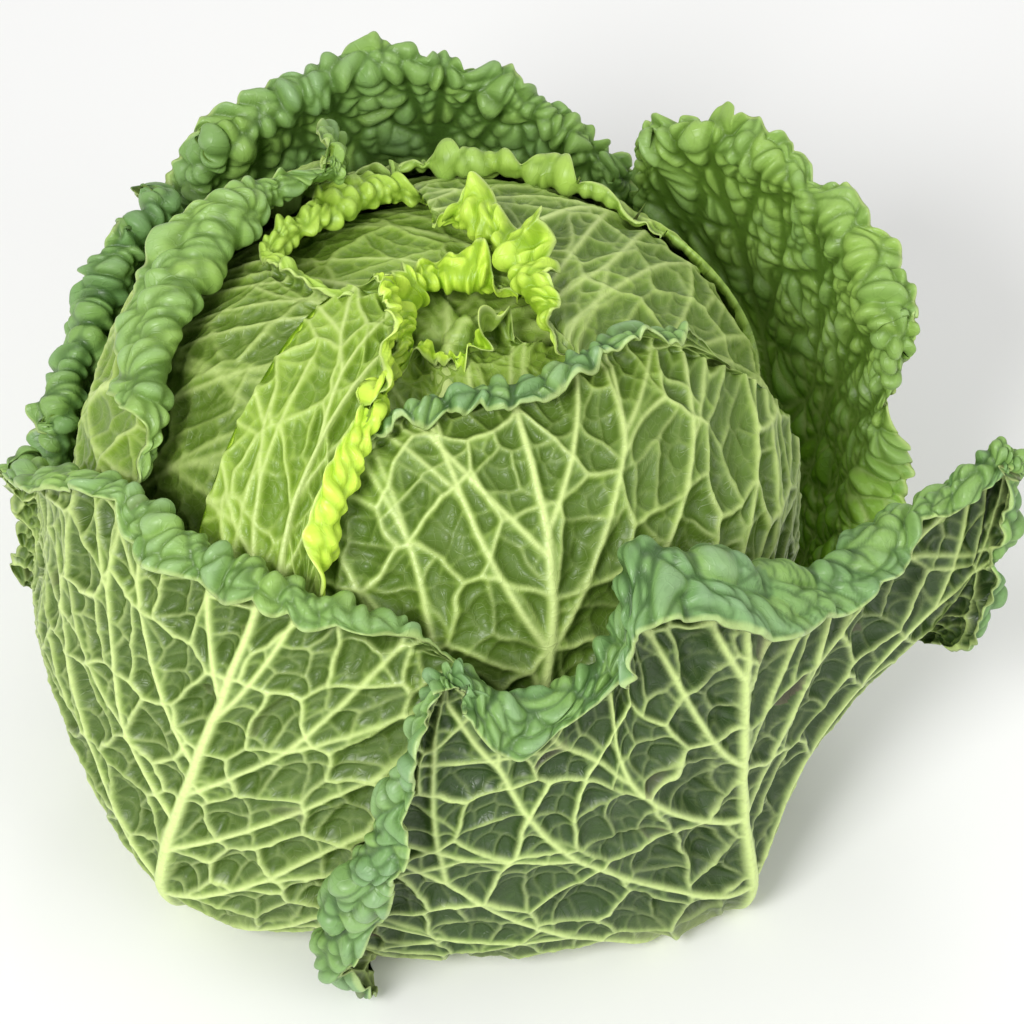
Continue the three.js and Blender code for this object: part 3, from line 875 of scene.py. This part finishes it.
HEART_INSET = 26.0               # how far the heart lies inside the nominal head
HEART_COVER = 150.0              # width of the veined cover over the heart's top
HEART_FOLDS = ((20, 8, 3.5), (140, -6, 3.0), (250, 14, 3.0))  # leaf edges: azimuth, distance, height
HEART_LOOK = dict(
    slot="leaf_inner", step=0.8, collar=1, sides=(0.0, 0.0, 0.0), start=(0.0, 0.0), bend=1.0, roll=10,
    inset=0, ruffle=0.0, pleat=0.0, puff=(0.8, 0.4), net=(16, 8, 4.0), rib=(0.5, 0.5), spread=(55, 28),
    thick=0.6, tone=0.3, inner_tone=0.3, vein=0.4, glow=0.0, seed=154)


class HeartCover(Sheet):
    """The top of the heart: tight leaves whose edges overlap near the crown."""

    def surface(self, u, v):
        x, y = (u - 0.5) * HEART_COVER, (v - 0.5) * HEART_COVER
        off = np.full(x.shape, -HEART_INSET + 1.0)
        for azimuth, distance, height in HEART_FOLDS:
            turn = math.radians(azimuth)
            across = x * math.cos(turn) + y * math.sin(turn) - distance
            along = y * math.cos(turn) - x * math.sin(turn)
            off -= height * ease(-1.5, 1.5, across + 0.012 * along ** 2 + 1.5 * np.sin(along / 5))
        climb = 180 - np.degrees(np.hypot(x, y) / HEAD_RADIUS)
        return place(np.degrees(np.arctan2(y, x)), climb, off + 6.0, FLOOR_CLEARANCE)


def add_heart_cover():
    """Veined leaf over the part of the heart that shows at the crown."""
    piece = HeartCover(None, HEART_LOOK).build("heart_cover")
    piece.data.materials.append(leaf_material("heart_cover", HEART_LOOK))
    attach(piece, "root")


def heart_material():
    """Heart: tender yellow-green leaf."""
    n = Nodes("heart_skin")
    place_at = n.add("ShaderNodeTexCoord").outputs["Object"]
    patch = n.noise(place_at, 40.0, 3.0)
    colour = n.blend(n.span(patch, 0.3, 0.7), rgb(172, 204, 76), rgb(132, 170, 48))
    n.wire(colour, n.shader.inputs["Base Color"])
    n.shader.inputs["Roughness"].default_value = 0.5
    return n.material


# ---- studio ----

CAMERA_RISE = 45.0               # degrees above the table
CAMERA_DISTANCE = 1.10
AIM = Vector((17.7, 0.0, 90.5))  # from the stem's axis, mm
SENSOR = 36.0
LENS = 135.4
LIT_POINT = Vector((0, 0, 0.08))
LIGHTS = (                       # name, place (m), width (m), power (W)
    ("key", (-0.5, -0.95, 1.05), 0.5, 14),
    ("fill", (0.9, -0.8, 0.7), 0.8, 4),
    ("back", (0.1, 0.9, 1.0), 0.7, 2),
)
SKY_LIGHT = 0.6
FLOOR_REACH = 6.0                # of the table, from the middle to each side


def add_camera():
    """Camera in front of the head, looking down on it."""
    data = bpy.data.cameras.new("camera")
    data.sensor_width = SENSOR
    data.lens = LENS
    camera = bpy.data.objects.new("camera", data)
    rise = math.radians(CAMERA_RISE)
    aim = (AIM + Vector((AXIS.x, AXIS.y, 0))) * MM
    camera.location = aim + CAMERA_DISTANCE * Vector((0, -math.cos(rise), math.sin(rise)))
    camera.rotation_euler = (math.radians(90) - rise, 0, 0)
    bpy.context.scene.collection.objects.link(camera)
    bpy.context.scene.camera = camera


def add_area_light(name, location, size, power):
    """Round soft light that faces the head."""
    data = bpy.data.lights.new(name, "AREA")
    data.shape = "DISK"
    data.size = size
    data.energy = power
    light = bpy.data.objects.new(name, data)
    light.location = location
    light.rotation_euler = (LIT_POINT - Vector(location)).to_track_quat("-Z", "Y").to_euler()
    bpy.context.scene.collection.objects.link(light)


def add_studio():
    """Pale floor, three soft lights and a white sky."""
    mesh = bpy.data.meshes.new("floor")
    corners = [(FLOOR_REACH * x, FLOOR_REACH * y, 0) for x, y in ((-1, -1), (1, -1), (1, 1), (-1, 1))]
    mesh.from_pydata(corners, [], [(0, 1, 2, 3)])
    floor = bpy.data.objects.new("floor", mesh)
    bpy.context.scene.collection.objects.link(floor)
    paper = bpy.data.materials.new("floor_paper")
    paper.use_nodes = True
    shader = paper.node_tree.nodes["Principled BSDF"]
    shader.inputs["Base Color"].default_value = (0.92, 0.92, 0.91, 1)
    shader.inputs["Roughness"].default_value = 0.8
    mesh.materials.append(paper)
    for name, location, size, power in LIGHTS:
        add_area_light(name, location, size, power)
    world = bpy.data.worlds.new("world")
    world.use_nodes = True
    sky = world.node_tree.nodes["Background"]
    sky.inputs["Color"].default_value = (1, 1, 1, 1)
    sky.inputs["Strength"].default_value = SKY_LIGHT
    bpy.context.scene.world = world
    bpy.context.scene.view_settings.view_transform = "Standard"


for leaf_name in LEAVES:
    add_leaf(leaf_name)
dress_frame_node("stem", stem_material())
dress_frame_node("heart", heart_material())
add_heart_cover()
add_camera()
add_studio()
